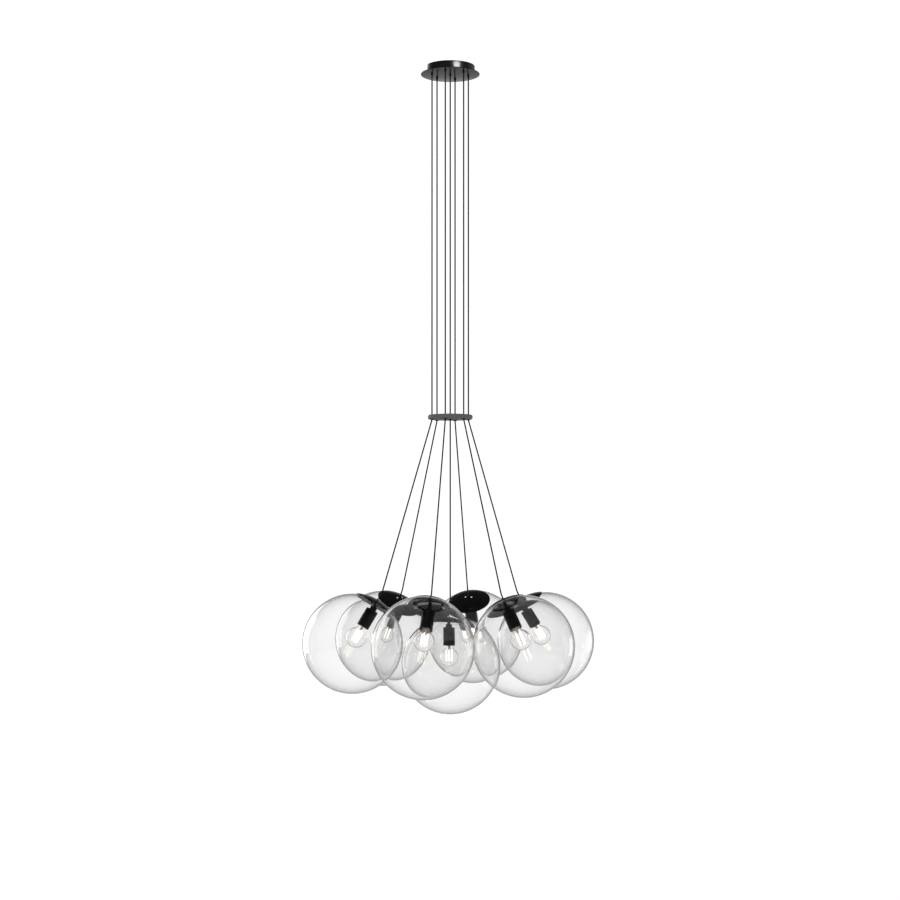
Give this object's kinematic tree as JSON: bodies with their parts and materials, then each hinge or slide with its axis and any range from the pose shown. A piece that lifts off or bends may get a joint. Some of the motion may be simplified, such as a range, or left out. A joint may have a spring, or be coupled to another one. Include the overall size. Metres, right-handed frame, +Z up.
{
  "type": "cluster pendant",
  "caption": "Cluster pendant with clear glass globes on long cords, gathered by a round spacer below a two-tier round ceiling canopy.",
  "frame": {"origin": "on the ceiling, midway between the bracket's two screw slots, on the lamp's upright axis", "axes": "+Z up into the ceiling along the lamp's axis, +X along the bracket and its screw slots; the picture looks along +Y"},
  "size_m": [0.6492, 0.6492, 1.4476],
  "materials": {
    "black_paint": "gloss",
    "black_moulding": "satin",
    "cord_sheath": "matte",
    "lead_sheath": "matte",
    "soft_rubber": "matte",
    "white_moulding": "matte",
    "zinc_steel": "zinc plated",
    "clear_glass": "clear, blown",
    "lamp_glass": "clear"
  },
  "bodies": {
    "canopy": {"ceiling_bracket": "zinc_steel", "canopy_drum": "black_paint", "canopy_plate": "black_paint", "canopy_cord_grips": "black_moulding", "canopy_nuts": "zinc_steel", "canopy_screws": "zinc_steel", "terminal_block": "white_moulding", "lamp_leads": "lead_sheath", "upper_cords": "cord_sheath", "spacer_disc": "black_paint", "spacer_bushes": "soft_rubber"},
    "pendant_1": {"lower_cord_1": "cord_sheath", "cap_1": "black_paint", "cap_cord_grip_1": "black_moulding", "glass_spring_1": "zinc_steel", "globe_1": "clear_glass", "lampholder_1": "black_moulding"},
    "pendant_2": {"lower_cord_2": "cord_sheath", "cap_2": "black_paint", "cap_cord_grip_2": "black_moulding", "glass_spring_2": "zinc_steel", "globe_2": "clear_glass", "lampholder_2": "black_moulding"},
    "pendant_3": {"lower_cord_3": "cord_sheath", "cap_3": "black_paint", "cap_cord_grip_3": "black_moulding", "glass_spring_3": "zinc_steel", "globe_3": "clear_glass", "lampholder_3": "black_moulding"},
    "pendant_4": {"lower_cord_4": "cord_sheath", "cap_4": "black_paint", "cap_cord_grip_4": "black_moulding", "glass_spring_4": "zinc_steel", "globe_4": "clear_glass", "lampholder_4": "black_moulding"},
    "pendant_5": {"lower_cord_5": "cord_sheath", "cap_5": "black_paint", "cap_cord_grip_5": "black_moulding", "glass_spring_5": "zinc_steel", "globe_5": "clear_glass", "lampholder_5": "black_moulding"},
    "pendant_6": {"lower_cord_6": "cord_sheath", "cap_6": "black_paint", "cap_cord_grip_6": "black_moulding", "glass_spring_6": "zinc_steel", "globe_6": "clear_glass", "lampholder_6": "black_moulding"},
    "pendant_7": {"lower_cord_7": "cord_sheath", "cap_7": "black_paint", "cap_cord_grip_7": "black_moulding", "glass_spring_7": "zinc_steel", "globe_7": "clear_glass", "lampholder_7": "black_moulding"},
    "bulb_1": {"bulb_1": "lamp_glass"},
    "bulb_2": {"bulb_2": "lamp_glass"},
    "bulb_3": {"bulb_3": "lamp_glass"},
    "bulb_4": {"bulb_4": "lamp_glass"},
    "bulb_5": {"bulb_5": "lamp_glass"},
    "bulb_6": {"bulb_6": "lamp_glass"},
    "bulb_7": {"bulb_7": "lamp_glass"}
  },
  "joints": [
    {"name": "pendant_1_swing", "type": "hinge", "parent": "canopy", "child": "pendant_1", "pos_m": [0.04066, 0.0109, -0.7921], "axis": [0.2588, -0.9659, 0], "range_deg": [0, 30]},
    {"name": "pendant_2_swing", "type": "hinge", "parent": "canopy", "child": "pendant_2", "pos_m": [0.0109, 0.04066, -0.7921], "axis": [0.9659, -0.2588, 0], "range_deg": [0, 30]},
    {"name": "pendant_3_swing", "type": "hinge", "parent": "canopy", "child": "pendant_3", "pos_m": [-0.02977, 0.02977, -0.7921], "axis": [0.7071, 0.7071, 0], "range_deg": [0, 30]},
    {"name": "pendant_4_swing", "type": "hinge", "parent": "canopy", "child": "pendant_4", "pos_m": [-0.04066, -0.0109, -0.7921], "axis": [-0.2588, 0.9659, 0], "range_deg": [0, 30]},
    {"name": "pendant_5_swing", "type": "hinge", "parent": "canopy", "child": "pendant_5", "pos_m": [-0.0109, -0.04066, -0.7921], "axis": [-0.9659, 0.2588, 0], "range_deg": [0, 30]},
    {"name": "pendant_6_swing", "type": "hinge", "parent": "canopy", "child": "pendant_6", "pos_m": [0.02977, -0.02977, -0.7921], "axis": [-0.7071, -0.7071, 0], "range_deg": [0, 30]},
    {"name": "pendant_7_swing", "type": "hinge", "parent": "canopy", "child": "pendant_7", "pos_m": [0, 0, -0.7921], "axis": [0, 1, 0], "range_deg": [-0.7, 0.7]},
    {"name": "bulb_1_turn", "type": "hinge", "parent": "pendant_1", "child": "bulb_1", "pos_m": [0.21463, 0.05751, -1.2874], "axis": [-0.5047, -0.1352, 0.8526], "continuous": true},
    {"name": "bulb_2_turn", "type": "hinge", "parent": "pendant_2", "child": "bulb_2", "pos_m": [0.05751, 0.21463, -1.2874], "axis": [-0.1352, -0.5047, 0.8526], "continuous": true},
    {"name": "bulb_3_turn", "type": "hinge", "parent": "pendant_3", "child": "bulb_3", "pos_m": [-0.15712, 0.15712, -1.2874], "axis": [0.3695, -0.3695, 0.8526], "continuous": true},
    {"name": "bulb_4_turn", "type": "hinge", "parent": "pendant_4", "child": "bulb_4", "pos_m": [-0.21463, -0.05751, -1.2874], "axis": [0.5047, 0.1352, 0.8526], "continuous": true},
    {"name": "bulb_5_turn", "type": "hinge", "parent": "pendant_5", "child": "bulb_5", "pos_m": [-0.05751, -0.21463, -1.2874], "axis": [0.1352, 0.5047, 0.8526], "continuous": true},
    {"name": "bulb_6_turn", "type": "hinge", "parent": "pendant_6", "child": "bulb_6", "pos_m": [0.15712, -0.15712, -1.2874], "axis": [-0.3695, 0.3695, 0.8526], "continuous": true},
    {"name": "bulb_7_turn", "type": "hinge", "parent": "pendant_7", "child": "bulb_7", "pos_m": [0, 0, -1.3376], "axis": [0, 0, 1], "continuous": true}
  ]
}
